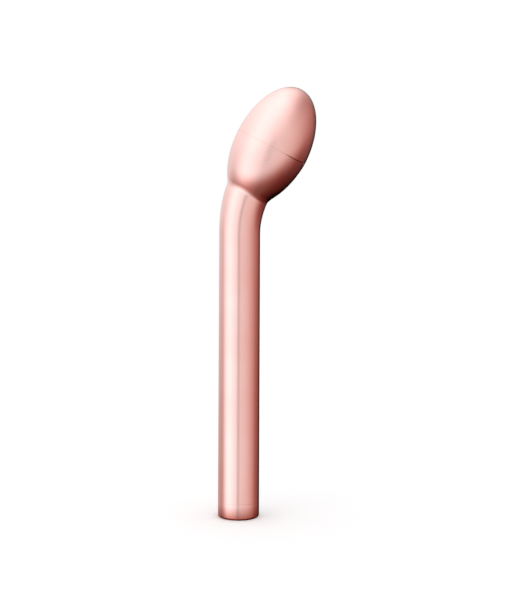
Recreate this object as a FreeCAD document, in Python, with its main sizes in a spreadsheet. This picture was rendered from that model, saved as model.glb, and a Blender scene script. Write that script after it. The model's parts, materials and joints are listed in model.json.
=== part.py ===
import FreeCAD, Part
import math
import os
import re

import Sketcher

# A slim battery-powered massager wand: a straight round handle, a neck that bends to one side and
# an egg-shaped head with a vibration motor inside. Two AA cells lie end to end in the handle, and
# the base cap screws out to change them.
#
# Origin: the centre of the face that the wand stands on, on the handle's axis.
# +Z runs up the handle and +X is the way the head leans. Millimetres and degrees.

DIMENSIONS = {
    # Handle, neck and head, outside
    "foot_radius": 9.0,
    "neck_radius": 8.8,
    "bend_start": 123.7,
    "bend_radius": 45.0,
    "head_lean": 27.25,
    "neck_flare": 1.1,
    "neck_blend": 1.5,
    "head_reach": 29.5,
    "egg_length": 27.5,
    "egg_radius": 16.0,
    "egg_wall": 1.8,
    "seam_depth": 0.15,
    # Handle, inside
    "bore_radius": 7.55,
    "ledge_height": 121.9,
    "channel_radius": 6.5,
    "slot_width": 3.2,
    "slot_reach": 8.0,
    "slot_start": 14.0,
    # Base cap
    "cap_height": 7.0,
    "foot_fillet": 1.0,
    "spigot_radius": 7.47,
    "spigot_top": 17.7,
    "cup_radius": 6.4,
    "well_radius": 5.9,
    "floor_height": 1.8,
    "ring_groove": 6.58,
    "ring_groove_width": 1.1,
    "ring_middle": 7.05,
    "ring_section": 0.45,
    # Push button and switch
    "button_radius": 3.8,
    "button_gap": 0.07,
    "button_recess": 0.35,
    "button_flange": 4.6,
    "flange_bottom": 2.35,
    "flange_top": 3.1,
    "post_radius": 1.5,
    "post_top": 3.9,
    "button_fillet": 0.3,
    "seal_inner": 3.95,
    "seal_outer": 5.6,
    "seal_thick": 0.5,
    "switch_side": 6.0,
    "switch_height": 3.2,
    "plunger_radius": 1.7,
    "plunger_length": 2.3,
    "plunger_gap": 0.05,
    "plunger_bore": 1.6,
    # Control board
    "board_seat": 8.4,
    "board_radius": 6.3,
    "board_thick": 1.0,
    "retainer_inner": 5.3,
    "retainer_thick": 1.0,
    "chip_length": 2.9,
    "chip_width": 1.6,
    "chip_height": 1.0,
    "leg_width": 0.4,
    "leg_reach": 0.5,
    "leg_thick": 0.15,
    "resistor_length": 1.6,
    "resistor_width": 0.8,
    "resistor_height": 0.45,
    # Contacts
    "spring_radius": 4.8,
    "spring_wire": 0.4,
    "spring_pitch": 1.7,
    "spring_taper": 12.0,
    "contact_thick": 0.4,
    "washer_inner": 6.0,
    "washer_outer": 7.5,
    "tab_width": 2.0,
    "tab_middle": 6.1,
    "tab_thick": 0.35,
    "strip_width": 3.0,
    "strip_inner": 7.55,
    "strip_start": 16.5,
    "strip_foot": 2.4,
    "plate_radius": 4.5,
    "carrier_radius": 7.5,
    "lead_offset": 3.2,
    "lead_radius": 0.6,
    # AA cells
    "cell_radius": 7.25,
    "cell_length": 50.5,
    "cell_start": 18.5,
    "cell_bevel": 0.5,
    "nub_radius": 2.75,
    "nub_height": 1.3,
    # Head cap's lip
    "lip_outer": 14.08,
    "lip_inner": 13.1,
    "lip_depth": 2.5,
    "lip_root": 14.6,
    "lip_rise": 2.0,
    # Motor, along the head's axis from the egg's centre
    "cradle_radius": 11.6,
    "cradle_bottom": 14.5,
    "cradle_floor": 2.0,
    "cradle_top": 8.0,
    "cradle_window": 6.0,
    "rib_width": 1.6,
    "rib_bottom": 12.0,
    "rib_gap": 0.05,
    "damper_outer": 12.2,
    "damper_thick": 3.0,
    "damper_lift": 0.3,
    "can_radius": 10.0,
    "can_flat": 7.5,
    "can_wall": 0.8,
    "can_bottom": 9.5,
    "can_top": 12.5,
    "boss_radius": 3.1,
    "boss_height": 1.5,
    "bell_bottom": 12.5,
    "bell_boss_radius": 2.7,
    "bell_boss_height": 1.7,
    "bush_radius": 2.2,
    "bush_length": 2.0,
    "shaft_radius": 1.0,
    "shaft_gap": 0.03,
    "shaft_bottom": 13.5,
    "shaft_top": 20.0,
    "terminal_width": 2.0,
    "terminal_thick": 0.4,
    "terminal_end": 16.0,
    "magnet_outer": 9.15,
    "magnet_inner": 6.8,
    "magnet_bottom": 6.0,
    "magnet_length": 14.0,
    "magnet_spread": 90.0,
    "core_radius": 6.3,
    "core_bottom": 3.5,
    "core_length": 10.0,
    "pole_neck": 3.0,
    "slot_mouth": 1.2,
    "coil_start": 2.6,
    "coil_end": 4.0,
    "coil_thick": 0.85,
    "coil_gap": 0.05,
    "commutator_radius": 2.2,
    "commutator_bottom": 9.2,
    "commutator_length": 4.2,
    "brush_gap": 0.04,
    "brush_width": 1.2,
    "brush_thick": 0.25,
    "brush_length": 3.0,
    "weight_radius": 7.0,
    "weight_bottom": 14.6,
    "weight_hub": 2.6,
}

POLES = 3
CELLS = ("lower_cell", "upper_cell")
TURN_ABOUT_X = FreeCAD.Rotation(FreeCAD.Vector(1, 0, 0), 90)

doc = FreeCAD.newDocument("MassagerWand")
sheet = doc.addObject("Spreadsheet::Sheet", "Dimensions")
for row, (alias, number) in enumerate(DIMENSIONS.items(), start=1):
    sheet.set(f"A{row}", alias)
    sheet.set(f"B{row}", str(number))
    sheet.setAlias(f"B{row}", alias)
doc.recompute()


# Places that the pieces share

def size(alias):
    """One of the sheet's driving dimensions."""
    return float(sheet.get(alias))


def raised(height):
    """The place a height up the Z axis."""
    return FreeCAD.Placement(FreeCAD.Vector(0, 0, height), FreeCAD.Rotation())


def turned_about_z(angle):
    """The place at the origin, turned about the Z axis."""
    return FreeCAD.Placement(FreeCAD.Vector(), FreeCAD.Rotation(FreeCAD.Vector(0, 0, 1), angle))


def along_bend(angle):
    """The place on the centreline of the bend, once it has turned by an angle."""
    turn = math.radians(angle)
    radius = size("bend_radius")
    across = radius * (1 - math.cos(turn))
    up = size("bend_start") + radius * math.sin(turn)
    return FreeCAD.Placement(
        FreeCAD.Vector(across, 0, up), FreeCAD.Rotation(FreeCAD.Vector(0, 1, 0), angle)
    )


BEND_END = along_bend(size("head_lean"))
BEND_TANGENT = size("bend_radius") * math.tan(math.radians(size("head_lean") / 2))
HEAD = BEND_END.multiply(raised(size("head_reach") - BEND_TANGENT))


# Short ways to make the document's objects

def formula(text):
    """A FreeCAD expression from a formula written with the sheet's aliases."""
    return re.sub(r"[a-z]+(_[a-z]+)+", lambda word: "Dimensions." + word[0], text)


def bind(thing, formulas):
    """Bind properties of an object to formulas over the sheet."""
    for name, text in formulas.items():
        thing.setExpression(name, formula(text))


def primitive(kind, name, lift="0", place=None, **formulas):
    """A Part primitive, with its base a height up its own Z axis, or at a given place."""
    thing = doc.addObject("Part::" + kind, name)
    bind(thing, formulas)
    if place is None:
        bind(thing, {"Placement.Base.z": lift})
    else:
        thing.Placement = place
    return thing


def rod(name, radius, bottom, length):
    """A cylinder about the Z axis."""
    return primitive("Cylinder", name, lift=bottom, Radius=radius, Height=length)


def block(name, across, deep, high, middle_x="0", middle_y="0", bottom="0"):
    """A box centred on a point of the XY plane, standing on a height."""
    box = doc.addObject("Part::Box", name)
    bind(box, {
        "Length": across,
        "Width": deep,
        "Height": high,
        "Placement.Base.x": f"{middle_x} - ({across}) / 2",
        "Placement.Base.y": f"{middle_y} - ({deep}) / 2",
        "Placement.Base.z": bottom,
    })
    return box


def fused(name, *pieces):
    thing = doc.addObject("Part::MultiFuse", name)
    thing.Shapes = list(pieces)
    return thing


def common(name, *pieces):
    thing = doc.addObject("Part::MultiCommon", name)
    thing.Shapes = list(pieces)
    return thing


def cut(name, base, *tools):
    """A base with one or more tools cut away."""
    thing = doc.addObject("Part::Cut", name)
    thing.Base = base
    thing.Tool = tools[0] if len(tools) == 1 else fused(name + "_tools", *tools)
    return thing


def group(name, pieces):
    """Separate like pieces kept as one sub-part."""
    thing = doc.addObject("Part::Compound", name)
    thing.Links = list(pieces)
    return thing


def sketch_on(body, name, role):
    """A sketch on one of a body's own origin planes."""
    sketch = body.newObject("Sketcher::SketchObject", name)
    plane = next(item for item in body.Origin.OriginFeatures if item.Role == role)
    sketch.AttachmentSupport = (plane, [""])
    sketch.MapMode = "FlatFace"
    return sketch


def outline(sketch, corners):
    """A closed outline of straight lines, each corner held by a pair of formulas."""
    count = len(corners)
    angles = [2 * math.pi * index / count for index in range(count)]
    start = [FreeCAD.Vector(math.cos(angle), math.sin(angle), 0) for angle in angles]
    for index in range(count):
        sketch.addGeometry(Part.LineSegment(start[index], start[(index + 1) % count]))
    for index in range(count):
        sketch.addConstraint(
            Sketcher.Constraint("Coincident", index, 2, (index + 1) % count, 1)
        )
    for index, (across, up) in enumerate(corners):
        for kind, text, guess in (
            ("DistanceX", across, start[index].x),
            ("DistanceY", up, start[index].y),
        ):
            place = sketch.addConstraint(Sketcher.Constraint(kind, -1, 1, index, 1, guess))
            sketch.setExpression(f"Constraints[{place}]", formula(text))


def turned(name, corners):
    """A body turned about Z from an outline of (radius, height) formulas."""
    body = doc.addObject("PartDesign::Body", name)
    sketch = sketch_on(body, name + "_outline", "XZ_Plane")
    outline(sketch, corners)
    turn = body.newObject("PartDesign::Revolution", name + "_turn")
    turn.Profile = sketch
    turn.ReferenceAxis = (sketch, ["V_Axis"])
    turn.Angle = 360
    sketch.Visibility = False
    return body


def ring(name, inner, outer, bottom, length):
    """A body that is a plain ring about the Z axis."""
    top = f"{bottom} + {length}"
    return turned(name, [(inner, bottom), (outer, bottom), (outer, top), (inner, top)])


def round_edges(shape, radius, height):
    """The names of the edges that are circles of a radius at a height."""
    names = []
    for index, edge in enumerate(shape.Edges, start=1):
        if edge.Curve.TypeId != "Part::GeomCircle":
            continue
        same_radius = abs(edge.Curve.Radius - radius) < 0.001
        if same_radius and abs(edge.Curve.Center.z - height) < 0.001:
            names.append(f"Edge{index}")
    return names


def dressed(body, kind, radius, height, amount):
    """A fillet or chamfer on a turned body's circles of a radius at a height."""
    doc.recompute()
    base = body.Tip
    dress = body.newObject("PartDesign::" + kind, f"{body.Name}_{kind.lower()}")
    dress.Base = (base, round_edges(base.Shape, radius, height))
    bind(dress, {"Radius" if kind == "Fillet" else "Size": amount})
    return body


def seam(name, radius, place):
    """A fine round-bottomed groove round a seam."""
    return primitive("Torus", name, place=place, Radius1=radius, Radius2="seam_depth")


def egg(name, inset, lowest, highest):
    """The head's egg, or a slice of it between two angles, inset from its outside."""
    thing = doc.addObject("Part::Ellipsoid", name)
    bind(thing, {
        "Radius1": f"egg_length - {inset}",
        "Radius2": f"egg_radius - {inset}",
        "Radius3": f"egg_radius - {inset}",
    })
    thing.Angle1 = lowest
    thing.Angle2 = highest
    return thing


def bent(name, radius, offset=0.0):
    """A round bar along the bend, its middle offset across the wand."""
    hub = FreeCAD.Vector(size("bend_radius"), offset, size("bend_start"))
    facing = FreeCAD.Rotation(
        FreeCAD.Vector(-1, 0, 0), FreeCAD.Vector(0, 0, 1), FreeCAD.Vector(0, 1, 0)
    )
    return primitive(
        "Torus", name, place=FreeCAD.Placement(hub, facing),
        Radius1="bend_radius", Radius2=radius, Angle3="head_lean",
    )


# Shells

def neck():
    """The outside of the neck, lofted through circles that widen along the bend."""
    stations = 5
    circles = []
    for index in range(stations):
        share = index / (stations - 1)
        eased = share * share * (3 - 2 * share)
        circles.append(primitive(
            "Circle", f"neck_circle_{index}", place=along_bend(share * size("head_lean")),
            Radius=f"neck_radius + neck_flare * {eased}",
        ))
    loft = doc.addObject("Part::Loft", "neck_outside")
    loft.Sections = circles
    loft.Solid = True
    return loft


def blended(name, base):
    """The crease between neck and head, rounded."""
    doc.recompute()
    crease = [
        index for index, edge in enumerate(base.Shape.Edges, start=1)
        if is_crease(edge)
    ]
    radius = size("neck_blend")
    thing = doc.addObject("Part::Fillet", name)
    thing.Base = base
    thing.Edges = [(index, radius, radius) for index in crease]
    return thing


def is_crease(edge):
    """Whether an edge lies on the line where the neck meets the head's lower half."""
    start, end = (edge.valueAt(value) for value in edge.ParameterRange)
    middle = edge.valueAt(sum(edge.ParameterRange) / 2)
    to_head = HEAD.inverse()
    for point in (start, middle, end):
        local = to_head.multVec(point)
        beyond = -local.z > size("egg_length") * 0.6
        on_egg = math.hypot(local.x, local.y) > size("neck_radius") * 0.9
        if not (beyond and on_egg):
            return False
    return edge.BoundBox.ZMin > size("bend_start") + 5


def make_body_shell():
    handle = primitive(
        "Cone", "handle_outside", lift="cap_height", Radius1="foot_radius",
        Radius2="neck_radius", Height="bend_start - cap_height",
    )
    cup = egg("cup_outside", "0", -90, 0)
    cup.Placement = HEAD
    outside = blended("outside_blended", fused("outside", handle, neck(), cup))

    cavity = egg("cup_inside", "egg_wall", -90, 90)
    cavity.Placement = HEAD
    bore = rod("handle_bore", "bore_radius", "cap_height", "ledge_height - cap_height")
    channel = rod(
        "channel_foot", "channel_radius", "ledge_height - 1", "bend_start - ledge_height + 1"
    )
    slot = block(
        "strip_slot", "slot_width", "slot_reach", "ledge_height + contact_thick + 0.2 - slot_start",
        middle_y="slot_reach / 2", bottom="slot_start",
    )
    head_seam = seam("cup_seam", "egg_radius + seam_depth / 3", HEAD)
    foot_seam = seam("handle_seam", "foot_radius + seam_depth / 3", raised(size("cap_height")))
    hollow = cut(
        "body_hollow", outside, cavity, bore, channel, bent("channel_bend", "channel_radius"),
        slot, head_seam, foot_seam,
    )

    span = "2 * egg_radius"
    height = "rib_bottom - lip_depth - 0.2"
    ribs = common(
        "rib_cross",
        fused(
            "rib_blocks",
            block("rib_across", span, "rib_width", height, bottom="-rib_bottom"),
            block("rib_along", "rib_width", span, height, bottom="-rib_bottom"),
        ),
        egg("rib_limit", "egg_wall / 2", -90, 90),
    )
    nest = rod("rib_nest", "cradle_radius + rib_gap", "-rib_bottom - 1", "rib_bottom + 1")
    cradle_ribs = cut("cradle_ribs", ribs, nest)
    cradle_ribs.Placement = HEAD
    return fused("body_shell", hollow, cradle_ribs)


def make_head_cap():
    shell = cut("cap_shell", egg("cap_outside", "0", 0, 90), egg("cap_inside", "egg_wall", -90, 90))
    lip = cut(
        "cap_lip",
        fused(
            "lip_block",
            rod("lip_spigot", "lip_outer", "-lip_depth", "lip_depth"),
            rod("lip_foot", "lip_root", "0", "lip_rise"),
        ),
        rod("lip_bore", "lip_inner", "-lip_depth - 1", "lip_depth + lip_rise + 2"),
    )
    groove = seam("cap_seam", "egg_radius + seam_depth / 3", raised(0))
    cap = cut("head_cap", fused("cap_with_lip", shell, lip), groove)
    cap.Placement = HEAD
    return cap


# Base cap and what it holds

def make_base_cap():
    hole = "button_radius + button_gap"
    groove_top = "cap_height + ring_groove_width"
    cap = turned("base_cap", [
        (hole, "0"),
        ("foot_radius", "0"),
        ("foot_radius", "cap_height"),
        ("ring_groove", "cap_height"),
        ("ring_groove", groove_top),
        ("spigot_radius", groove_top),
        ("spigot_radius", "spigot_top"),
        ("cup_radius", "spigot_top"),
        ("cup_radius", "board_seat"),
        ("well_radius", "board_seat"),
        ("well_radius", "floor_height"),
        (hole, "floor_height"),
    ])
    dressed(cap, "Chamfer", size("foot_radius"), size("cap_height"), "seam_depth")
    return dressed(cap, "Fillet", size("foot_radius"), 0, "foot_fillet")


def make_cap_o_ring():
    return primitive(
        "Torus", "cap_o_ring", lift="cap_height + ring_groove_width / 2",
        Radius1="ring_middle", Radius2="ring_section",
    )


def make_push_button():
    button = turned("push_button", [
        ("0", "button_recess"),
        ("button_radius", "button_recess"),
        ("button_radius", "flange_bottom"),
        ("button_flange", "flange_bottom"),
        ("button_flange", "flange_top"),
        ("post_radius", "flange_top"),
        ("post_radius", "post_top"),
        ("0", "post_top"),
    ])
    return dressed(button, "Fillet", size("button_radius"), size("button_recess"), "button_fillet")


def make_button_seal():
    return ring("button_seal", "seal_inner", "seal_outer", "floor_height", "seal_thick")


def make_switch_body():
    bottom = "board_seat - switch_height"
    case = block("switch_case", "switch_side", "switch_side", "switch_height", bottom=bottom)
    bore = rod("switch_bore", "plunger_radius + plunger_gap", bottom, "plunger_bore")
    return cut("switch_body", case, bore)


def make_switch_plunger():
    return rod("switch_plunger", "plunger_radius", "post_top", "plunger_length")


def make_control_board():
    return rod("control_board", "board_radius", "board_seat", "board_thick")


def contact_tab(name, slack="0"):
    """The tab from the contact ring down to the board, or the notch that it passes through."""
    return block(
        name, f"tab_width + 2 * {slack}", f"tab_thick + 2 * {slack}",
        "spigot_top - board_seat - board_thick + contact_thick",
        middle_y="-tab_middle", bottom="board_seat + board_thick",
    )


def make_board_retainer():
    seat = "board_seat + board_thick"
    whole = rod("retainer_block", "board_radius", seat, "retainer_thick")
    hole = rod("retainer_hole", "retainer_inner", seat, "retainer_thick")
    return cut("board_retainer", whole, hole, contact_tab("retainer_notch", "0.1"))


def make_control_chip():
    seat = "board_seat + board_thick"
    pieces = [block("chip_case", "chip_length", "chip_width", "chip_height", bottom=f"{seat} + 0.1")]
    for side in (-1, 1):
        for index in (-1, 0, 1):
            pieces.append(block(
                f"chip_leg_{side + 1}_{index + 1}", "leg_width", "leg_reach + 0.2",
                "leg_thick", middle_x=f"{index} * chip_length / 3",
                middle_y=f"{side} * (chip_width + leg_reach) / 2", bottom=seat,
            ))
    return fused("control_chip", *pieces)


def make_drive_transistor():
    return block(
        "drive_transistor", "chip_length", "0.8 * chip_width", "chip_height",
        middle_y="0.66 * retainer_inner - 0.5", bottom="board_seat + board_thick",
    )


def make_board_resistors():
    spacing = 1.3
    chips = [
        block(
            f"resistor_{index}", "resistor_width", "resistor_length", "resistor_height",
            middle_x=f"{(index - 1) * spacing}", middle_y="-0.58 * retainer_inner",
            bottom="board_seat + board_thick",
        )
        for index in range(3)
    ]
    return group("board_resistors", chips)


def make_battery_spring():
    bottom = size("board_seat") + size("board_thick") + size("spring_wire")
    length = "cell_start - board_seat - board_thick - 2 * spring_wire - 0.1"
    coil = primitive(
        "Helix", "spring_coil", place=raised(bottom), Pitch="spring_pitch", Height=length,
        Radius="spring_radius", Angle="-spring_taper",
    )
    start = FreeCAD.Vector(size("spring_radius"), 0, bottom)
    wire = primitive(
        "Circle", "spring_wire_section", place=FreeCAD.Placement(start, TURN_ABOUT_X),
        Radius="spring_wire",
    )
    spring = doc.addObject("Part::Sweep", "battery_spring")
    spring.Sections = [wire]
    spring.Spine = (coil, [])
    spring.Solid = True
    spring.Frenet = True
    return spring


def make_cap_contact_ring():
    washer = cut(
        "washer",
        rod("washer_block", "washer_outer", "spigot_top", "contact_thick"),
        rod("washer_hole", "washer_inner", "spigot_top", "contact_thick"),
    )
    return fused("cap_contact_ring", washer, contact_tab("ring_tab"))


# Cells and contacts in the handle

def make_cell(name, index):
    top = "cell_length - nub_height"
    can = turned(name + "_can", [
        ("0", "0"),
        ("cell_radius - cell_bevel", "0"),
        ("cell_radius", "cell_bevel"),
        ("cell_radius", f"{top} - cell_bevel"),
        ("cell_radius - cell_bevel", top),
        ("0", top),
    ])
    cap = turned(name + "_cap", [
        ("0", top),
        ("nub_radius", top),
        ("nub_radius", "cell_length - 0.2"),
        ("nub_radius - 0.2", "cell_length"),
        ("0", "cell_length"),
    ])
    for piece in (can, cap):
        bind(piece, {"Placement.Base.z": f"cell_start + {index} * cell_length"})
    return [can, cap]


def plate_tab(name, slack="0"):
    """The positive contact's solder tab, or the slot that it passes through."""
    height = "ledge_height + contact_thick + 0.1 - cell_start - 2 * cell_length"
    return block(
        name, f"tab_width + 2 * {slack}", f"contact_thick + 2 * {slack}", height,
        middle_y="-lead_offset", bottom="cell_start + 2 * cell_length",
    )


def make_positive_contact():
    plate = rod(
        "contact_plate", "plate_radius", "cell_start + 2 * cell_length", "contact_thick"
    )
    return fused("positive_contact", plate, plate_tab("contact_tab"))


def make_contact_carrier():
    bottom = "cell_start + 2 * cell_length + contact_thick"
    disc = rod("carrier_disc", "carrier_radius", bottom, f"ledge_height - ({bottom})")
    return cut("contact_carrier", disc, plate_tab("carrier_slot", "0.05"))


def make_return_strip():
    top = "ledge_height + 0.1 + contact_thick"
    strip = block(
        "strip_run", "strip_width", "contact_thick", f"{top} - strip_start",
        middle_y="strip_inner + contact_thick / 2", bottom="strip_start",
    )
    reach = "strip_inner + contact_thick - strip_foot"
    foot = block(
        "strip_end", "strip_width", reach, "contact_thick",
        middle_y=f"strip_foot + ({reach}) / 2", bottom="ledge_height + 0.1",
    )
    return fused("return_strip", strip, foot)


def make_lead(name, side):
    """A lead from the handle's contacts, round the bend in the neck, to a motor terminal."""
    offset = side * size("lead_offset")
    start = size("ledge_height") + 0.1 + size("contact_thick")
    foot = primitive(
        "Cylinder", name + "_foot", place=FreeCAD.Placement(
            FreeCAD.Vector(0, offset, start), FreeCAD.Rotation()
        ),
        Radius="lead_radius", Height=f"bend_start - {start}",
    )
    across = FreeCAD.Placement(FreeCAD.Vector(0, offset, 0), FreeCAD.Rotation())
    end = primitive(
        "Cylinder", name + "_end", place=BEND_END.multiply(across),
        Radius="lead_radius", Height=f"head_reach - terminal_end - {BEND_TANGENT}",
    )
    return fused(name, foot, bent(name + "_bend", "lead_radius", offset), end)


# Motor, about the head's axis

def double_d(name, radius, flat, bottom, length):
    """A cylinder with two flats, on its Y sides."""
    round_bar = rod(name + "_round", radius, bottom, length)
    flats = block(name + "_flats", f"2 * ({radius})", f"2 * ({flat})", length, bottom=bottom)
    return common(name, round_bar, flats)


def make_motor_cradle():
    sleeve = rod(
        "cradle_sleeve", "cradle_radius", "-cradle_bottom", "cradle_bottom + cradle_top"
    )
    nest = double_d(
        "cradle_nest", "can_radius + rib_gap", "can_flat + rib_gap",
        "-cradle_bottom + cradle_floor", "cradle_bottom - cradle_floor + cradle_top + 1",
    )
    window = rod("cradle_hole", "cradle_window", "-cradle_bottom - 1", "cradle_floor + 2")
    return cut("motor_cradle", sleeve, nest, window)


def make_motor_can():
    length = "can_bottom + can_top"
    case = double_d("can_case", "can_radius", "can_flat", "-can_bottom", length)
    boss = rod("can_boss", "boss_radius", "can_top - 0.1", "boss_height + 0.1")
    inside = double_d(
        "can_inside", "can_radius - can_wall", "can_flat - can_wall",
        "-can_bottom - 1", f"{length} + 1 - can_wall",
    )
    bore = rod("can_bore", "bush_radius", "can_top - can_wall - 1", "boss_height + can_wall + 2")
    return cut("motor_can", fused("can_block", case, boss), inside, bore)


def make_end_bell():
    plate = double_d(
        "bell_plate", "can_radius - rib_gap", "can_flat - rib_gap", "-bell_bottom",
        "bell_bottom - can_bottom",
    )
    boss = rod(
        "bell_boss", "bell_boss_radius", "-bell_bottom - bell_boss_height", "bell_boss_height + 0.1"
    )
    pocket = rod(
        "bell_pocket", "bush_radius", "-shaft_bottom - 0.1", "shaft_bottom + 0.1 - can_bottom"
    )
    slots = [
        terminal(f"bell_slot_{side + 1}", side, "-bell_bottom - 1", "bell_bottom + 1", "0.02")
        for side in (-1, 1)
    ]
    return cut("end_bell", fused("bell_block", plate, boss), pocket, *slots)


def terminal(name, side, bottom, length, slack="0"):
    """A flat motor terminal, or the slot that holds it."""
    return block(
        name, f"terminal_width + 2 * {slack}", f"terminal_thick + 2 * {slack}", length,
        middle_y=f"{side} * lead_offset", bottom=bottom,
    )


def make_motor_terminals():
    return group("motor_terminals", [
        terminal(f"terminal_{side + 1}", side, "-terminal_end", "terminal_end - can_bottom")
        for side in (-1, 1)
    ])


def make_brushes():
    near = "commutator_radius + brush_gap"
    far = "lead_offset + terminal_thick / 2"
    brushes = []
    for side in (-1, 1):
        leaf = block(
            f"brush_leaf_{side + 1}", "brush_width", "brush_thick", "brush_length",
            middle_y=f"{side} * ({near} + brush_thick / 2)", bottom="-can_bottom",
        )
        foot = block(
            f"brush_foot_{side + 1}", "brush_width", f"{far} - {near}", "brush_thick",
            middle_y=f"{side} * ({near} + {far}) / 2", bottom="-can_bottom",
        )
        brushes.append(fused(f"brush_{side + 1}", leaf, foot))
    return group("brushes", brushes)


def make_bush(name, bottom):
    return ring(name, "shaft_radius + shaft_gap", "bush_radius", bottom, "bush_length")


def make_motor_magnets():
    magnets = []
    for side in (0, 1):
        outer = rod(f"magnet_block_{side}", "magnet_outer", "-magnet_bottom", "magnet_length")
        bind(outer, {"Angle": "magnet_spread"})
        inner = rod(f"magnet_bore_{side}", "magnet_inner", "-magnet_bottom - 1", "magnet_length + 2")
        magnet = cut(f"magnet_{side}", outer, inner)
        magnet.Placement = turned_about_z(180 * side - size("magnet_spread") / 2)
        magnets.append(magnet)
    return group("motor_magnets", magnets)


def make_armature_core():
    core = doc.addObject("PartDesign::Body", "armature_core")
    face = sketch_on(core, "core_face", "XY_Plane")
    for radius, alias in ((size("core_radius"), "core_radius"), (1.0, "shaft_radius")):
        circle = Part.Circle(FreeCAD.Vector(), FreeCAD.Vector(0, 0, 1), radius)
        index = face.addGeometry(circle)
        face.addConstraint(Sketcher.Constraint("Coincident", index, 3, -1, 1))
        limit = face.addConstraint(Sketcher.Constraint("Radius", index, radius))
        face.setExpression(f"Constraints[{limit}]", formula(alias))
    stack = core.newObject("PartDesign::Pad", "core_stack")
    stack.Profile = face
    bind(stack, {"Length": "core_length"})

    # The slot between two poles: a narrow mouth, and sides that run along both poles' necks.
    slope = math.tan(math.radians(180 / POLES))
    apex = f"pole_neck / 2 / {math.sin(math.radians(180 / POLES))}"
    wide = "0.58 * core_radius"
    shoe = "0.8 * core_radius"
    face = sketch_on(core, "slot_face", "XY_Plane")
    outline(face, [
        (apex, "0"),
        (wide, f"-({wide} - {apex}) * {slope}"),
        (shoe, "-slot_mouth / 2"),
        ("core_radius + 1", "-slot_mouth / 2"),
        ("core_radius + 1", "slot_mouth / 2"),
        (shoe, "slot_mouth / 2"),
        (wide, f"({wide} - {apex}) * {slope}"),
    ])
    slot = core.newObject("PartDesign::Pocket", "core_slot")
    slot.Profile = face
    slot.Type = "ThroughAll"
    slot.Reversed = True
    pattern = core.newObject("PartDesign::PolarPattern", "core_slots")
    pattern.Originals = [slot]
    pattern.Axis = (face, ["N_Axis"])
    pattern.Angle = 360
    pattern.Occurrences = POLES
    core.Tip = pattern
    core.Placement = HEAD.multiply(raised(-size("core_bottom")))
    return core


def make_armature_windings():
    """One coil round each pole's neck, halfway between two slots."""
    middle = "(coil_start + coil_end) / 2"
    deep = "coil_end - coil_start"
    coils = []
    for index in range(POLES):
        outer = block(
            f"coil_block_{index}", deep, "pole_neck + 2 * coil_gap + 2 * coil_thick",
            "core_length + 2 * coil_gap + 2 * coil_thick", middle_x=middle,
            bottom="-core_bottom - coil_gap - coil_thick",
        )
        inner = block(
            f"coil_hole_{index}", f"{deep} + 1", "pole_neck + 2 * coil_gap",
            "core_length + 2 * coil_gap", middle_x=middle, bottom="-core_bottom - coil_gap",
        )
        coil = cut(f"coil_{index}", outer, inner)
        coil.Placement = turned_about_z(360 * (index + 0.5) / POLES)
        coils.append(coil)
    return group("armature_windings", coils)


def make_motor_shaft():
    return rod("motor_shaft", "shaft_radius", "-shaft_bottom", "shaft_bottom + shaft_top")


def make_commutator():
    return ring(
        "commutator", "shaft_radius", "commutator_radius", "-commutator_bottom", "commutator_length"
    )


def make_eccentric_weight():
    length = "shaft_top - weight_bottom"
    half = rod("weight_half", "weight_radius", "weight_bottom", length)
    half.Angle = 180
    half.Placement = turned_about_z(90)
    hub = rod("weight_sleeve", "weight_hub", "weight_bottom", length)
    bore = rod("weight_bore", "shaft_radius", "weight_bottom - 1", f"{length} + 2")
    return cut("eccentric_weight", fused("weight_block", half, hub), bore)


def make_motor_damper():
    return ring(
        "motor_damper", "can_radius + rib_gap", "damper_outer", "cradle_top + damper_lift",
        "damper_thick",
    )


def make_motor():
    """Everything that is set along the head's axis, measured from the egg's centre."""
    pieces = [
        make_motor_cradle(),
        make_motor_damper(),
        make_motor_can(),
        make_end_bell(),
        make_motor_terminals(),
        make_brushes(),
        make_bush("front_bush", "can_top + boss_height - bush_length"),
        make_bush("rear_bush", "-shaft_bottom - 0.1"),
        make_motor_magnets(),
        make_armature_windings(),
        make_motor_shaft(),
        make_commutator(),
        make_eccentric_weight(),
    ]
    doc.recompute()
    for piece in pieces:
        piece.setExpression("Placement.Base.z", None)
        piece.Placement = HEAD.multiply(piece.Placement)
    return pieces + [make_armature_core()]


def make_wand():
    return [
        make_body_shell(),
        make_head_cap(),
        make_base_cap(),
        make_cap_o_ring(),
        make_push_button(),
        make_button_seal(),
        make_switch_body(),
        make_switch_plunger(),
        make_control_board(),
        make_board_retainer(),
        make_control_chip(),
        make_drive_transistor(),
        make_board_resistors(),
        make_battery_spring(),
        make_cap_contact_ring(),
        *(piece for index, name in enumerate(CELLS) for piece in make_cell(name, index)),
        make_positive_contact(),
        make_contact_carrier(),
        make_return_strip(),
        make_lead("lead_red", -1),
        make_lead("lead_black", 1),
        *make_motor(),
    ]


def check(pieces):
    """Stop if anything in the document failed, or a sub-part has no valid shape."""
    for thing in doc.Objects:
        if "Invalid" in thing.State or "Error" in thing.State:
            raise RuntimeError(f"{thing.Name} failed: {thing.State}")
    for piece in pieces:
        if piece.Shape.isNull() or not piece.Shape.isValid():
            raise RuntimeError(f"{piece.Name} has no valid shape")


def write(pieces):
    os.makedirs("parts", exist_ok=True)
    for piece in pieces:
        piece.Label = piece.Name
        piece.Shape.exportStep(f"parts/{piece.Label}.step")
        print(f"{piece.Label}: {len(piece.Shape.Solids)} solids, {piece.Shape.Volume:.1f} mm3")


subparts = make_wand()
doc.recompute()
check(subparts)
write(subparts)
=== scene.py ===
import json
import math

import bmesh
import bpy
from mathutils import Matrix, Vector


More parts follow.
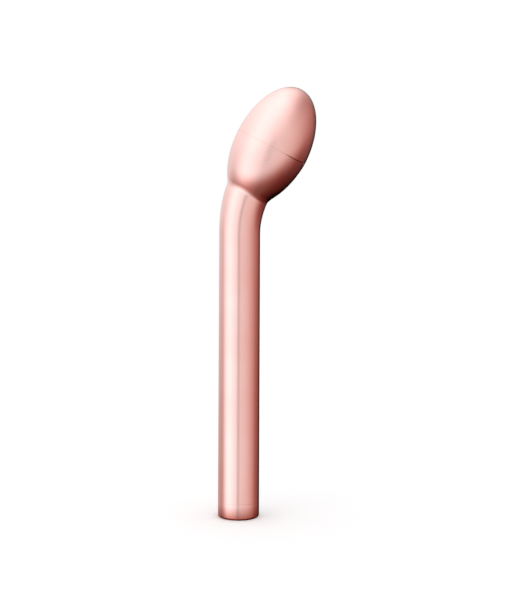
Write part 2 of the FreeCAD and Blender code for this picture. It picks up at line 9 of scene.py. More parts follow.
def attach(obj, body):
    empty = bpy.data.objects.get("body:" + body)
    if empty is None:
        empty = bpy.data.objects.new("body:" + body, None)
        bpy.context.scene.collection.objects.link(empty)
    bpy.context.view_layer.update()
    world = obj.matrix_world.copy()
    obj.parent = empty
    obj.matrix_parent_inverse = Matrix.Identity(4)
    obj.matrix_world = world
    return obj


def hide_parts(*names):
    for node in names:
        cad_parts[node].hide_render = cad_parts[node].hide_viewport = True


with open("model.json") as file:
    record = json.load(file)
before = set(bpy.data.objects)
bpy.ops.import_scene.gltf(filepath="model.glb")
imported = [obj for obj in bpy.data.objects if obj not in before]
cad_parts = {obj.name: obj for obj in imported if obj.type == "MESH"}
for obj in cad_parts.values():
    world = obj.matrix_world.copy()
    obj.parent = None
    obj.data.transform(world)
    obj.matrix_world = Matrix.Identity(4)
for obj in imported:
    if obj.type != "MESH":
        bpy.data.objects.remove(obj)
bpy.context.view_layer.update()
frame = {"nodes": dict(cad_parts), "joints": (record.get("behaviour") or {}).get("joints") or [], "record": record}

# A rose-gold plated massager wand that stands on its base cap. The outer shells are rebuilt here
# as fine, smooth meshes that follow the CAD, apart from fractions of a millimetre at the neck's
# crease and the head's seam. The pieces inside keep their CAD meshes and get materials.
# Metres throughout; MM turns the design's millimetres into them.

MM = 0.001

# The design's outside dimensions
FOOT_RADIUS = 9.0 * MM
NECK_RADIUS = 8.8 * MM
CAP_HEIGHT = 7.0 * MM
BEND_START = 123.7 * MM
BEND_RADIUS = 45.0 * MM
NECK_FLARE = 1.1 * MM
INSIDE_FLARE = 0.5 * MM
EGG_LENGTH = 27.5 * MM
EGG_RADIUS = 16.0 * MM
EGG_WALL = 1.8 * MM
UNDERCUT = 0.8 * MM
CREASE_SOFTNESS = 0.9 * MM
EXTRA_SOFTNESS = 0.4
BORE_RADIUS = 7.55 * MM
CHANNEL_RADIUS = 6.5 * MM
LEDGE_HEIGHT = 121.9 * MM
SLOT_LOW = 14.0 * MM
SLOT_HIGH = 122.5 * MM
SLOT_WIDTH = 3.2 * MM
SLOT_REACH = 8.0 * MM

# How the shells meet: the rounding of their edges, with a ring close by that keeps the surface
# beside it flat, the gap and depth of the seams, and how far the head's seam opens inside the bend.
# The opening grows and then fades again as an outward direction turns to the inside of the bend.
EDGE = 0.03 * MM
SUPPORT = 0.05 * MM
SEAM_GAP = 0.01 * MM
SEAM_DEPTH = 0.7 * MM
SEAM_OPENING = 0.24 * MM
OPENING_GROWS = (0.3, 0.6)
OPENING_FADES = (0.8, 0.97)
OPENING_LOST = 0.75

# How fine the meshes are
SEGMENTS = 192
ARC_STEPS = 5

# The head's axis is the rotor's, and its middle is where the joint is
spin = next(joint for joint in frame["joints"] if joint["name"] == "rotor_spin")
HEAD_MIDDLE = Vector(spin["pos_m"])
HEAD_AXIS = Vector(spin["axis"]).normalized()
LEAN = math.atan2(HEAD_AXIS.x, HEAD_AXIS.z)
BEND_LENGTH = BEND_RADIUS * LEAN
BEND_END = Vector((
    BEND_RADIUS * (1 - math.cos(LEAN)), 0, BEND_START + BEND_RADIUS * math.sin(LEAN)
))
HEAD_REACH = (HEAD_MIDDLE - BEND_END).dot(HEAD_AXIS)
HEAD_STATION = BEND_START + BEND_LENGTH + HEAD_REACH
TO_HEAD = Matrix.Translation(HEAD_MIDDLE) @ Matrix.Rotation(LEAN, 4, "Y")


# ---- Meshes ----

def centreline(station):
    """The point at a length along the wand's centreline, and the angle it has turned by there."""
    if station <= BEND_START:
        return Vector((0, 0, station)), 0.0
    if station >= BEND_START + BEND_LENGTH:
        return BEND_END + HEAD_AXIS * (station - BEND_START - BEND_LENGTH), LEAN
    turn = (station - BEND_START) / BEND_RADIUS
    across = BEND_RADIUS * (1 - math.cos(turn))
    return Vector((across, 0, BEND_START + BEND_RADIUS * math.sin(turn))), turn


def outward_at(angle, turn):
    """The direction out of the wand at an angle round it, where it has turned by an angle."""
    return Vector((
        math.cos(angle) * math.cos(turn), math.sin(angle), -math.cos(angle) * math.sin(turn)
    ))


def eased(value, start, end):
    """A smooth step from 0 at a start to 1 at an end."""
    share = min(1.0, max(0.0, (value - start) / (end - start)))
    return share * share * (3 - 2 * share)


def neck_outside(station, inside_bend):
    """The handle's and neck's radius, without the head; it widens less inside the bend."""
    if station <= BEND_START:
        share = (station - CAP_HEIGHT) / (BEND_START - CAP_HEIGHT)
        return FOOT_RADIUS + (NECK_RADIUS - FOOT_RADIUS) * share
    flare = NECK_FLARE + (INSIDE_FLARE - NECK_FLARE) * inside_bend
    return NECK_RADIUS + flare * eased(station, BEND_START, BEND_START + BEND_LENGTH)


def egg_distance(point, outward, inset=0.0):
    """How far a ray from a point goes to leave the egg, or 0 if it misses it."""
    turn = Matrix.Rotation(-LEAN, 3, "Y")
    start = turn @ (point - HEAD_MIDDLE)
    ray = turn @ outward
    scale = Vector((EGG_RADIUS - inset, EGG_RADIUS - inset, EGG_LENGTH - inset))
    start = Vector(value / size for value, size in zip(start, scale))
    ray = Vector(value / size for value, size in zip(ray, scale))
    a, b, c = ray.dot(ray), start.dot(ray), start.dot(start) - 1
    inside = b * b - a * c
    return (-b + math.sqrt(inside)) / a if inside > 0 else 0.0


def smooth_max(first, second, reach):
    """The larger of two radii, eased by a parabola where they are within a reach of each other."""
    near = max(reach - abs(first - second), 0) / reach
    return max(first, second) + near * near * reach / 4


def outer_radius(station, angle):
    """The wand's outside: neck and egg, with a crease that is softer inside the bend."""
    point, turn = centreline(station)
    inside_bend = (1 + math.cos(angle)) / 2
    egg = egg_distance(point, outward_at(angle, turn))
    if egg > 0:
        below_seam = min(1.0, max(0.0, HEAD_STATION - station) / HEAD_REACH)
        egg -= UNDERCUT * inside_bend ** 2 * below_seam
    reach = CREASE_SOFTNESS * (1 + EXTRA_SOFTNESS * inside_bend)
    return smooth_max(neck_outside(station, inside_bend), egg, reach)


def inner_radius(station, angle):
    """The hollow: the cells' bore, the strip's slot beside it, the neck's channel and the cup."""
    bore = BORE_RADIUS if station < LEDGE_HEIGHT else CHANNEL_RADIUS
    beside = abs(math.cos(angle)) * SLOT_REACH
    in_slot = beside < SLOT_WIDTH / 2 and math.sin(angle) > 0
    if in_slot and SLOT_LOW <= station <= SLOT_HIGH:
        return SLOT_REACH / math.sin(angle)
    if station < SLOT_HIGH:
        return bore
    point, turn = centreline(station)
    cup = egg_distance(point, outward_at(angle, turn), EGG_WALL)
    if station >= BEND_START + BEND_LENGTH:
        return cup
    return max(bore, cup)


def opened(angle):
    """How far the cup's rim drops from the seam: most on both flanks of the inside of the bend."""
    inward = math.cos(angle)
    kept = 1 - OPENING_LOST * eased(inward, *OPENING_FADES)
    return SEAM_OPENING * eased(inward, *OPENING_GROWS) * kept


def ring_along(station, radius, drop=None):
    """A ring of points round the centreline, at a radius and a drop that follow the angle."""
    point, turn = centreline(station)
    along = Vector((math.sin(turn), 0, math.cos(turn)))
    ring = []
    for index in range(SEGMENTS):
        angle = 2 * math.pi * index / SEGMENTS
        place = point + outward_at(angle, turn) * radius(station, angle)
        ring.append(place - along * drop(angle) if drop else place)
    return ring


def ring_about_z(radius, height):
    """A ring of points about the Z axis."""
    angles = (2 * math.pi * index / SEGMENTS for index in range(SEGMENTS))
    return [Vector((radius * math.cos(a), radius * math.sin(a), height)) for a in angles]


def skin(name, rings, ends=None):
    """A closed mesh through rings of points, with its ends closed on points or joined together."""
    made = bmesh.new()
    rows = [[made.verts.new(point) for point in ring] for ring in rings]
    count = len(rows[0])
    pairs = list(zip(rows, rows[1:]))
    if ends is None:
        pairs.append((rows[-1], rows[0]))
    for low, high in pairs:
        for index in range(count):
            following = (index + 1) % count
            made.faces.new((low[index], low[following], high[following], high[index]))
    if ends is not None:
        for row, point, flip in ((rows[0], ends[0], True), (rows[-1], ends[1], False)):
            middle = made.verts.new(point)
            for index in range(count):
                following = (index + 1) % count
                corner = (row[following], row[index]) if flip else (row[index], row[following])
                made.faces.new((*corner, middle))
    bmesh.ops.recalc_face_normals(made, faces=made.faces)
    mesh = bpy.data.meshes.new(name)
    made.to_mesh(mesh)
    made.free()
    thing = bpy.data.objects.new(name, mesh)
    bpy.context.scene.collection.objects.link(thing)
    return thing


def smooth(thing, angle=35):
    """Smooth shading, but with true corners where the surface turns by more than an angle."""
    thing.data.polygons.foreach_set("use_smooth", [True] * len(thing.data.polygons))
    made = bmesh.new()
    made.from_mesh(thing.data)
    for edge in made.edges:
        edge.smooth = len(edge.link_faces) != 2 or edge.calc_face_angle() < math.radians(angle)
    made.to_mesh(thing.data)
    made.free()
    return thing


def rounded(corners, steps=6):
    """A profile of (radius, height, rounding) corners, with each rounding as an arc."""
    profile = []
    count = len(corners)
    for index, (radius, height, rounding) in enumerate(corners):
        corner = Vector((radius, height))
        if not rounding:
            profile.append(corner)
            continue
        before = (Vector(corners[index - 1][:2]) - corner).normalized()
        after = (Vector(corners[(index + 1) % count][:2]) - corner).normalized()
        half = before.angle(after) / 2
        reach = rounding / math.tan(half)
        middle = corner + (before + after).normalized() * rounding / math.sin(half)
        start = corner + before * reach - middle
        sweep = math.pi - 2 * half
        turn = 1 if before.x * after.y - before.y * after.x < 0 else -1
        for step in range(steps + 1):
            angle = turn * sweep * step / steps
            cos, sin = math.cos(angle), math.sin(angle)
            profile.append(middle + Vector((
                start.x * cos - start.y * sin, start.x * sin + start.y * cos
            )))
    return profile


def lathe(name, profile, ends=None):
    """A mesh turned about Z from a profile of (radius, height) points."""
    rings = [ring_about_z(point[0], point[1]) for point in profile]
    tips = None if ends is None else [Vector((0, 0, height)) for height in ends]
    return skin(name, rings, tips)


def spaced(start, end, step):
    """Even stations from a start up to, but not including, an end."""
    count = max(1, round(abs(end - start) / step))
    return [start + (end - start) * index / count for index in range(count)]


def edge_arc(station, radius_at, sign, dropping=None):
    """Rings that round the outer edge at a seam over, from the outside towards the inside."""
    rings = []
    for step in range(1, ARC_STEPS + 1):
        angle = math.pi / 2 * step / ARC_STEPS
        drop = EDGE * (1 - math.cos(angle))
        shift = EDGE * math.sin(angle)
        rings.append(ring_along(
            station + sign * (shift - EDGE),
            lambda _, a, d=drop: radius_at(station, a) - d,
            dropping,
        ))
    return rings


def body_shell():
    """Handle, neck and the head's lower cup as one hollow moulding."""
    foot = CAP_HEIGHT + SEAM_GAP
    seam = HEAD_STATION - SEAM_GAP
    bend_end = BEND_START + BEND_LENGTH
    near_foot = 20 * MM
    near_bend = 116 * MM
    near_crease = BEND_START + 10 * MM
    stations = [
        foot + EDGE,
        *spaced(foot + EDGE + SUPPORT, near_foot, step=2 * MM),
        *spaced(near_foot, near_bend, step=4 * MM),
        *spaced(near_bend, near_crease, step=0.8 * MM),
        *spaced(near_crease, bend_end, step=0.16 * MM),
        *spaced(bend_end, seam - EDGE - SUPPORT, step=0.6 * MM),
    ]
    outside = [ring_along(station, outer_radius) for station in stations]
    outside.append(ring_along(seam - EDGE - SUPPORT, outer_radius, opened))
    outside.append(ring_along(seam - EDGE, outer_radius, opened))
    top_edge = edge_arc(seam, outer_radius, 1, opened)
    bottom_edge = edge_arc(foot, outer_radius, -1)[::-1]
    lip = ring_along(seam, lambda s, a: outer_radius(s, a) - SEAM_DEPTH, opened)
    under_lip = seam - 0.5 * MM
    under_ledge = LEDGE_HEIGHT - 2 * MM
    step_height = 0.02 * MM
    hollow = [
        seam,
        *spaced(under_lip, bend_end, step=1 * MM),
        *spaced(bend_end, SLOT_HIGH, step=1 * MM),
        SLOT_HIGH,
        LEDGE_HEIGHT + step_height / 2,
        LEDGE_HEIGHT - step_height / 2,
        *spaced(under_ledge, SLOT_LOW, step=6 * MM),
        SLOT_LOW,
        SLOT_LOW - step_height,
        foot,
    ]
    inside = [ring_along(station, inner_radius) for station in hollow]
    thing = skin("wand_body", [*bottom_edge, *outside, *top_edge, lip, *inside])
    return smooth(thing)


def egg_side(inset, lowest, steps):
    """Points (radius, height) up the side of the egg, from a height to just short of its top."""
    radius = EGG_RADIUS - inset
    length = EGG_LENGTH - inset
    start = math.asin(lowest / length)
    angles = (start + (math.pi / 2 - start) * step / steps for step in range(steps))
    return [(radius * math.cos(angle), length * math.sin(angle)) for angle in angles]


def head_cap():
    """The egg's upper half, a shell with a lip that drops into the cup."""
    lip_depth = 2.5 * MM
    lip_outer = 14.08 * MM
    lip_inner = 13.1 * MM
    lip_rise = 2.0 * MM
    outside = egg_side(0.0, SEAM_GAP + EDGE, steps=90)
    inside = egg_side(EGG_WALL, lip_rise, steps=24)
    edge = []
    for step in range(ARC_STEPS):
        angle = math.pi / 2 * step / ARC_STEPS
        edge.append((
            EGG_RADIUS - EDGE * (1 - math.sin(angle)),
            SEAM_GAP + EDGE * (1 - math.cos(angle)),
        ))
    profile = [
        *reversed(inside),
        (lip_inner, lip_rise),
        (lip_inner, -lip_depth),
        (lip_outer, -lip_depth),
        (lip_outer, SEAM_GAP),
        *edge,
        *outside,
    ]
    cap = lathe("wand_head_cap", profile, ends=(EGG_LENGTH - EGG_WALL, EGG_LENGTH))
    cap.data.transform(TO_HEAD)
    return smooth(cap)


def base_cap():
    """The screw cap that the wand stands on."""
    top = CAP_HEIGHT - SEAM_GAP
    hole = 3.87 * MM
    groove = 6.58 * MM
    groove_top = 8.1 * MM
    spigot = 7.47 * MM
    spigot_top = 17.7 * MM
    cup = 6.4 * MM
    seat = 8.4 * MM
    well = 5.9 * MM
    well_floor = 1.8 * MM
    foot_rounding = 1.0 * MM
    hole_rounding = 0.15 * MM
    thread_rounding = 0.2 * MM
    small_rounding = 0.1 * MM
    corners = [
        (hole, 0, hole_rounding),
        (FOOT_RADIUS, 0, foot_rounding),
        (FOOT_RADIUS, foot_rounding + SUPPORT, 0),
        (FOOT_RADIUS, top - EDGE - SUPPORT, 0),
        (FOOT_RADIUS, top, EDGE),
        (groove, top, 0),
        (groove, groove_top, 0),
        (spigot, groove_top, small_rounding),
        (spigot, spigot_top, thread_rounding),
        (cup, spigot_top, small_rounding),
        (cup, seat, 0),
        (well, seat, 0),
        (well, well_floor, 0),
        (hole, well_floor, 0),
    ]
    return smooth(lathe("wand_base_cap", rounded(corners, steps=10)))


def push_button():
    """The round button in the foot, with a shallow dish in its face."""
    face = 0.35 * MM
    side = 3.8 * MM
    flange = 4.6 * MM
    flange_low = 2.35 * MM
    flange_high = 3.1 * MM
    post = 1.5 * MM
    post_top = 3.9 * MM
    post_middle = 0.4 * post
    dish = 2.6 * MM
    dish_depth = 0.25 * MM
    dish_middle = 0.4 * dish
    dish_slope = 0.8 * dish
    slope_depth = 0.7 * dish_depth
    dish_rounding = 0.2 * MM
    face_rounding = 0.3 * MM
    small_rounding = 0.1 * MM
    profile = rounded([
        (dish_middle, face + dish_depth, 0),
        (dish_slope, face + slope_depth, 0),
        (dish, face, dish_rounding),
        (side, face, face_rounding),
        (side, flange_low, 0),
        (flange, flange_low, small_rounding),
        (flange, flange_high, small_rounding),
        (post, flange_high, 0),
        (post, post_top, small_rounding),
        (post_middle, post_top, 0),
    ])
    button = lathe("wand_push_button", profile, ends=(face + dish_depth, post_top))
    return smooth(button, angle=50)


# ---- Materials ----

def linear(colour):
    """A colour written as a hex string, in linear light by the sRGB curve."""
    values = [int(colour[index:index + 2], 16) / 255 for index in (1, 3, 5)]
    return [v / 12.92 if v <= 0.04045 else ((v + 0.055) / 1.055) ** 2.4 for v in values] + [1]


def material(name, **sockets):
    """A material and its principled shader, with fixed values set on the shader's own sockets."""
    made = bpy.data.materials.new(name)
    made.use_nodes = True
    shader = made.node_tree.nodes["Principled BSDF"]
    for socket, value in sockets.items():
        shader.inputs[socket.replace("_", " ").title()].default_value = value
    return made, shader


def noise(made, scale, detail, stretch=(1, 1, 1)):
    """Noise over the object's own coordinates, in features per metre."""
    nodes, links = made.node_tree.nodes, made.node_tree.links
    place = nodes.new("ShaderNodeTexCoord")
    mapping = nodes.new("ShaderNodeMapping")
    mapping.inputs["Scale"].default_value = stretch
    texture = nodes.new("ShaderNodeTexNoise")
    texture.inputs["Scale"].default_value = scale
    texture.inputs["Detail"].default_value = detail
    links.new(place.outputs["Object"], mapping.inputs["Vector"])
    links.new(mapping.outputs["Vector"], texture.inputs["Vector"])
    return texture.outputs["Fac"]


def height_in(made):
    """The height in the object's own coordinates."""
    nodes, links = made.node_tree.nodes, made.node_tree.links
    place = nodes.new("ShaderNodeTexCoord")
    split = nodes.new("ShaderNodeSeparateXYZ")
    links.new(place.outputs["Object"], split.inputs["Vector"])
    return split.outputs["Z"]


def between(made, factor, low, high, start=0.35, end=0.65):
    """A number that goes from low to high as a factor goes from a start to an end."""
    ramp = made.node_tree.nodes.new("ShaderNodeMapRange")
    ramp.inputs["From Min"].default_value = start
    ramp.inputs["From Max"].default_value = end
    ramp.inputs["To Min"].default_value = low
    ramp.inputs["To Max"].default_value = high
    made.node_tree.links.new(factor, ramp.inputs["Value"])
    return ramp.outputs["Result"]


def tinted(made, shader, factor, first, second):
    """The base colour, varied between two tints by a factor."""
    mix = made.node_tree.nodes.new("ShaderNodeMix")
    mix.data_type = "RGBA"
    mix.inputs["A"].default_value = linear(first)
    mix.inputs["B"].default_value = linear(second)
    made.node_tree.links.new(factor, mix.inputs["Factor"])
    made.node_tree.links.new(mix.outputs["Result"], shader.inputs["Base Color"])


def bumped(made, shader, texture, depth):
    """A bump on the surface that follows a texture, to a depth in metres."""
    bump = made.node_tree.nodes.new("ShaderNodeBump")
    bump.inputs["Strength"].default_value = 1.0
    bump.inputs["Distance"].default_value = depth
    made.node_tree.links.new(texture, bump.inputs["Height"])
    made.node_tree.links.new(bump.outputs["Normal"], shader.inputs["Normal"])


def softened(made, rough, softer, start, end):
    """A roughness, with more added from a height up to a higher one."""
    nodes, links = made.node_tree.nodes, made.node_tree.links
    more = nodes.new("ShaderNodeMath")
    more.operation = "ADD"
    links.new(rough, more.inputs[0])
    links.new(between(made, height_in(made), 0, softer, start, end), more.inputs[1])
    return more.outputs["Value"]


def deepened(made, shader, deeper, start, end):
    """The base colour, mixed into a deeper one between two heights, as painted shade."""
    nodes, links = made.node_tree.nodes, made.node_tree.links
    mix = nodes.new("ShaderNodeMix")
    mix.data_type = "RGBA"
    colour = shader.inputs["Base Color"].links[0].from_socket
    links.new(between(made, height_in(made), 0, 1, start, end), mix.inputs["Factor"])
    links.new(colour, mix.inputs["A"])
    mix.inputs["B"].default_value = linear(deeper)
    links.new(mix.outputs["Result"], shader.inputs["Base Color"])


# The plating's tints, a painted shade that darkens it at the foot where the shaded table would be
# mirrored, its softer gloss on the head, and the heights over which the shade and the gloss change
PLATING = "#f8d3cf"
PLATING_WORN = "#f5ccc7"
PAINTED_FOOT_SHADE = "#a85647"
FOOT_SHADE_FADE = (6.0 * MM, 0.2 * MM)
HEAD_SOFTER = 0.12
HEAD_FADE = (138.0 * MM, 152.0 * MM)


def plated(name, first, second, smoothest=0.09, roughest=0.16, foot=None, head=False):
    """Bright electroplating: a metal whose gloss varies with handling, over a faint orange peel.

    With a foot colour, a painted shade darkens the plating to it over the last few millimetres above the table.
    On a piece with the head on it, the gloss gets a little softer where the head starts.
    """
    orange_peel = 0.0025 * MM
    made, shader = material(name, metallic=1.0)
    tinted(made, shader, between(made, noise(made, scale=45, detail=4), 0, 1), first, second)
    if foot:
        # Painted shade towards the foot, in place of the shaded table mirrored there
        deepened(made, shader, foot, *FOOT_SHADE_FADE)
    handling = noise(made, scale=160, detail=6, stretch=(1, 1, 0.45))
    rough = between(made, handling, smoothest, roughest)
    if head:
        rough = softened(made, rough, HEAD_SOFTER, *HEAD_FADE)
    made.node_tree.links.new(rough, shader.inputs["Roughness"])
    bumped(made, shader, noise(made, scale=420, detail=1.5), orange_peel)
    return made


def moulded(name, first, second, roughness, grain=1800):
    """Moulded plastic or rubber with a fine grain."""
    smoothest, roughest = roughness - 0.06, roughness + 0.08
    grain_depth = 0.02 * MM
    made, shader = material(name)
    tinted(made, shader, noise(made, scale=220, detail=4), first, second)
    rough = between(made, noise(made, scale=600, detail=4), smoothest, roughest)
    made.node_tree.links.new(rough, shader.inputs["Roughness"])
    bumped(made, shader, noise(made, scale=grain, detail=3), grain_depth)
    return made


def metal(name, first, second, roughness, stretch=(1, 1, 12)):
    """Bare metal with drawn or turned streaks."""
    smoothest, roughest = roughness - 0.08, roughness + 0.12
    streak_depth = 0.01 * MM
    made, shader = material(name, metallic=1.0)
    tinted(made, shader, noise(made, scale=300, detail=4), first, second)
    streaks = noise(made, scale=500, detail=5, stretch=stretch)
    rough = between(made, streaks, smoothest, roughest)
    made.node_tree.links.new(rough, shader.inputs["Roughness"])
    bumped(made, shader, streaks, streak_depth)
    return made


MATERIALS = {
    "rose_gold_plate": plated("rose_gold_plating", PLATING, PLATING_WORN, head=True),
    "button_plate": plated(
        "rose_gold_satin", "#e2ab9c", "#dba191", smoothest=0.24, roughest=0.34
    ),
    "black_moulding": moulded("black_nylon", "#1b1b1d", "#27272a", roughness=0.5),
    "white_moulding": moulded("natural_nylon", "#e7e3da", "#dad5ca", roughness=0.42),
    "silicone": moulded("dark_silicone", "#383435", "#464143", roughness=0.6, grain=900),
    "steel": metal("plated_steel", "#bfc2c6", "#a9acb1", roughness=0.3),
    "brass": metal("sheet_brass", "#cfa85c", "#bd954a", roughness=0.28),
    "copper": metal("bare_copper", "#c0714a", "#a95c38", roughness=0.3),
    "ferrite": moulded("sintered_ferrite", "#36373b", "#434449", roughness=0.6, grain=2600),
    "circuit_board": moulded("green_laminate", "#1f6140", "#174d32", roughness=0.35, grain=1400),
    "chip_resin": moulded("chip_resin", "#191a1c", "#232427", roughness=0.5, grain=2600),
    "red_lead": moulded("red_insulation", "#b4251e", "#a01d18", roughness=0.35),
    "black_lead": moulded("black_insulation", "#141414", "#1e1e1e", roughness=0.35),
    "cell_jacket": metal("cell_jacket", "#5b7f63", "#4d6f55", roughness=0.34, stretch=(1, 1, 1)),
    "nickel": metal("nickel_plate", "#d2cfc8", "#c2bfb8", roughness=0.22),
}
# The base cap's plating, with painted shade darkening it towards the table
PLATING_WITH_FOOT_SHADE = plated("rose_gold_foot_shaded", PLATING, PLATING_WORN, foot=PAINTED_FOOT_SHADE)


def paint_inside():
    """A material for each CAD node that stays."""
    for entry in frame["record"]["subparts"]:
        thing = frame["nodes"][entry["node"]]
        thing.data.materials.clear()
        thing.data.materials.append(MATERIALS[entry["material_slot"]])


def outer_pieces():
    """The shells and the button, each in place of its CAD node."""
    for make, node, body, slot in (
        (body_shell, "body_shell", "wand", "rose_gold_plate"),
        (head_cap, "head_cap", "wand", "rose_gold_plate"),
        (base_cap, "base_cap", "cap", "rose_gold_plate"),
        (push_button, "push_button", "button", "button_plate"),
    ):
        piece = make()
        # The base cap gets the plating with painted shade at its foot
        plating = PLATING_WITH_FOOT_SHADE if node == "base_cap" else MATERIALS[slot]
        piece.data.materials.append(plating)
        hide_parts(node)
        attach(piece, body)


# ---- Studio ----

def camera():
    """Level with the head, so that the base is seen from above; the lens frames the photo's view."""
    data = bpy.data.cameras.new("camera")
    data.sensor_width = 36.0
    data.lens = 89.4
    thing = bpy.data.objects.new("camera", data)
    bpy.context.scene.collection.objects.link(thing)
    beside_handle = 5.9 * MM
    place = Vector((beside_handle, -640 * MM, 159.5 * MM))
    aim = Vector((beside_handle, 0, 95.1 * MM))
    roll = math.radians(0.3)
    turn = (aim - place).to_track_quat("-Z", "Y").to_matrix().to_4x4()
    thing.matrix_world = Matrix.Translation(place) @ turn @ Matrix.Rotation(roll, 4, "Z")
    bpy.context.scene.camera = thing


def floor():
    """A round, matt white table."""
    made, shader = material("white_table", roughness=1.0)
    shader.inputs["Specular IOR Level"].default_value = 0.0
    tinted(made, shader, noise(made, scale=8, detail=2), "#fbfbfb", "#f9f9f9")
    radius = 0.9
    corners = 128
    angles = [2 * math.pi * index / corners for index in range(corners)]
    points = [(radius * math.cos(angle), radius * math.sin(angle), 0) for angle in angles]
    mesh = bpy.data.meshes.new("table")
    mesh.from_pydata(points, [], [list(range(corners))])
    thing = bpy.data.objects.new("table", mesh)
    bpy.context.scene.collection.objects.link(thing)
    thing.data.materials.append(made)
    thing.visible_glossy = False


def softbox(name, place, aim, side, power):
    """A large square light that only lights matt surfaces; bright metal mirrors the room."""
    data = bpy.data.lights.new(name, "AREA")
    data.size = side
    data.energy = power
    thing = bpy.data.objects.new(name, data)
    bpy.context.scene.collection.objects.link(thing)
    turn = (Vector(aim) - Vector(place)).to_track_quat("-Z", "Y").to_matrix().to_4x4()
    thing.matrix_world = Matrix.Translation(place) @ turn
    thing.visible_glossy = False


class Tree:
    """The world's nodes, added one at a time."""

    def __init__(self, tree):
        self.nodes, self.links = tree.nodes, tree.links

    def add(self, kind, inputs, output=0, **settings):
        """A node with its settings, and its inputs each a value or another node's output."""
        made = self.nodes.new(kind)
        for name, value in settings.items():
            setattr(made, name, value)
        for socket, value in inputs.items():
            if isinstance(value, bpy.types.NodeSocket):
                self.links.new(value, made.inputs[socket])
            else:
                made.inputs[socket].default_value = value
        return made.outputs[output]

    def calc(self, operation, *values, clamped=False):
        """The result of an operation on values or outputs."""
        inputs = dict(enumerate(values))
        return self.add("ShaderNodeMath", inputs, operation=operation, use_clamp=clamped)

    def share(self, value, start, end, low=0.0):
        """A number that goes from low to 1 as a value goes from a start to an end."""
        return self.add("ShaderNodeMapRange", {
            "Value": value, "From Min": start, "From Max": end, "To Min": low, "To Max": 1.0,
        })

    def mixed(self, factor, first, second, blend="MIX"):
        """Two colours, mixed by a factor."""
        inputs = {"Factor": factor, "A": first, "B": second}
        settings = {"data_type": "RGBA", "blend_type": blend}
        return self.add("ShaderNodeMix", inputs, "Result", **settings)

    def ramp(self, factor, stops):
        """A smooth run of colours along a factor, through (place, strength, tint) stops."""
        output = self.add("ShaderNodeValToRGB", {"Fac": factor})
        ramp = output.node.color_ramp
        ramp.interpolation = "B_SPLINE"
        while len(ramp.elements) < len(stops):
            ramp.elements.new(0.5)
        for element, (place, strength, tint) in zip(ramp.elements, stops):
            element.position = place
            element.color = [strength * value for value in linear(tint)[:3]] + [1]
        return output


WHITE = "#ffffff"

# How much brighter than plain white the brightest of the room is
BRIGHTEST = 1.7

# Round the room: degrees from the camera's side, to the right positive, with strength and tint.
# The left is a broad window of soft light, and the right is a warm wall that ends almost black.
WALLS = (
    (-180, 0.20, "#ffd8d0"),
    (-174, 0.80, WHITE),
    (-160, 1.00, WHITE),
    (-135, 1.00, WHITE),
    (-110, 0.98, WHITE),
    (-88, 1.12, WHITE),
    (-66, 1.64, WHITE),
    (-42, 1.56, WHITE),
    (-12, 1.08, WHITE),
    (0, 0.98, "#fffaf8"),
    (18, 1.00, "#fff6f2"),
    (45, 0.95, "#ffeae2"),
    (70, 0.79, "#ffd6cc"),
    (95, 0.61, "#ffb8ae"),
    (120, 0.44, "#ffb0a4"),
    (141, 0.21, "#ffa8a0"),
    (152, 0.01, "#ffa8a0"),
    (166, 0.01, "#ffa8a0"),
    (180, 0.02, "#ffa8a0"),
)

# A narrow stand beside the camera, a little darker than the room and just below its horizon:
# its azimuth, how far to the sides it fades out, its strength, and the slopes where it ends
STAND_AZIMUTH = math.radians(-3)
STAND_FADES = (math.radians(1), math.radians(11))
STAND_STRENGTH = 0.76
STAND_TOP = (-0.08, 0.1)
STAND_BOTTOM = (-0.2, -0.4)

# From the shade on the table, below and behind the wand, up into the light. A direction's slope
# leaves the shade between two levels. Directions towards the camera leave it lower down, which
# stops a little way behind the wand, and those to the left leave it a little higher up.
SHADE_LEVELS = (-0.82, -0.15)
SHADE_AHEAD = 0.45
SHADE_BEHIND = -0.25
SHADE_LEFT = 0.1
SHADE = (
    (0.0, 0.22, "#ffb0a2"),
    (0.3, 0.31, "#ffaea0"),
    (0.6, 0.57, "#ffccc2"),
    (1.0, 1.00, WHITE),
)

# Overhead, from the window's side to the other, and the slopes over which the walls turn into it
CEILING_ACROSS = (-0.2, 0.8)
CEILING_EDGE = (0.1, 0.95)
CEILING = (
    (0.0, 1.70, WHITE),
    (0.5, 1.44, "#fff6f4"),
    (1.0, 0.36, "#ffa89c"),
)

# The plain room's strength, for matt surfaces and as the camera sees it
PLAIN_STRENGTH = 1.06
SEEN_STRENGTH = 1.0


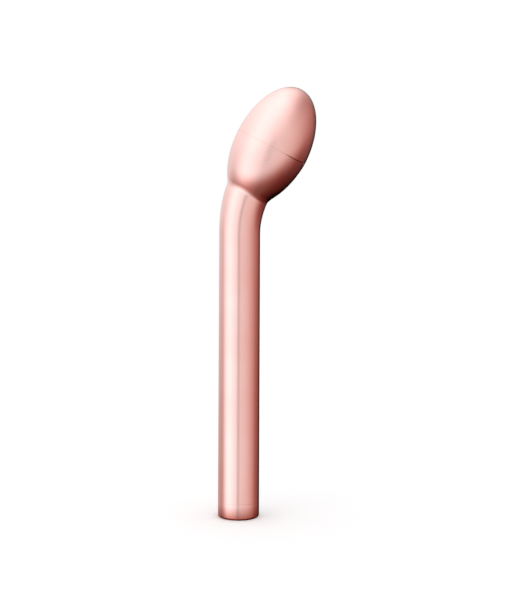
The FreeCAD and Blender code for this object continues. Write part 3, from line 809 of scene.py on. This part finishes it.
def room():
    """A white room for matt surfaces, and a graded one for bright metal to mirror."""
    world = bpy.data.worlds.new("room")
    bpy.context.scene.world = world
    world.use_nodes = True
    tree = Tree(world.node_tree)
    direction = tree.add("ShaderNodeTexCoord", {}, "Generated")
    split = tree.add("ShaderNodeSeparateXYZ", {"Vector": direction}).node.outputs

    forward = tree.calc("MULTIPLY", split["Y"], -1.0)
    azimuth = tree.calc("ARCTAN2", split["X"], forward)
    walls = tree.ramp(tree.share(azimuth, -math.pi, math.pi), [
        ((angle + 180) / 360, strength / BRIGHTEST, tint) for angle, strength, tint in WALLS
    ])

    off_stand = tree.calc("ABSOLUTE", tree.calc("SUBTRACT", azimuth, STAND_AZIMUTH))
    beside = tree.share(off_stand, *STAND_FADES, low=STAND_STRENGTH)
    above = tree.share(split["Z"], *STAND_TOP)
    below = tree.share(split["Z"], *STAND_BOTTOM)
    stand = tree.calc("MAXIMUM", beside, tree.calc("ADD", above, below, clamped=True))
    walls = tree.mixed(1.0, walls, stand, "MULTIPLY")

    ceiling = tree.ramp(tree.share(split["X"], *CEILING_ACROSS), [
        (place, strength / BRIGHTEST, tint) for place, strength, tint in CEILING
    ])
    upper = tree.mixed(tree.share(split["Z"], *CEILING_EDGE), walls, ceiling)

    ahead = tree.calc("MAXIMUM", forward, SHADE_BEHIND)
    leftward = tree.calc("MINIMUM", split["X"], 0.0)
    level = tree.calc("MULTIPLY_ADD", ahead, SHADE_AHEAD, split["Z"])
    level = tree.calc("MULTIPLY_ADD", leftward, SHADE_LEFT, level)
    shade = tree.ramp(tree.share(level, *SHADE_LEVELS), SHADE)
    graded = tree.mixed(1.0, upper, shade, "MULTIPLY")

    rays = tree.add("ShaderNodeLightPath", {}).node.outputs
    fall = SEEN_STRENGTH - PLAIN_STRENGTH
    fill = tree.calc("MULTIPLY_ADD", rays["Is Camera Ray"], fall, PLAIN_STRENGTH)
    matt = tree.add("ShaderNodeBackground", {"Color": (1, 1, 1, 1), "Strength": fill})
    mirrored = tree.add("ShaderNodeBackground", {"Color": graded, "Strength": BRIGHTEST})
    surface = tree.add("ShaderNodeMixShader", {0: rays["Is Glossy Ray"], 1: matt, 2: mirrored})
    tree.links.new(surface, tree.nodes["World Output"].inputs["Surface"])


def studio():
    """The room, the table and a soft light, with colours shown as they are."""
    room()
    floor()
    softbox("key", place=(-0.5, -0.5, 0.75), aim=(0, 0, 0.1), side=0.6, power=0.5)
    bpy.context.scene.view_settings.view_transform = "Standard"


paint_inside()
outer_pieces()
studio()
camera()
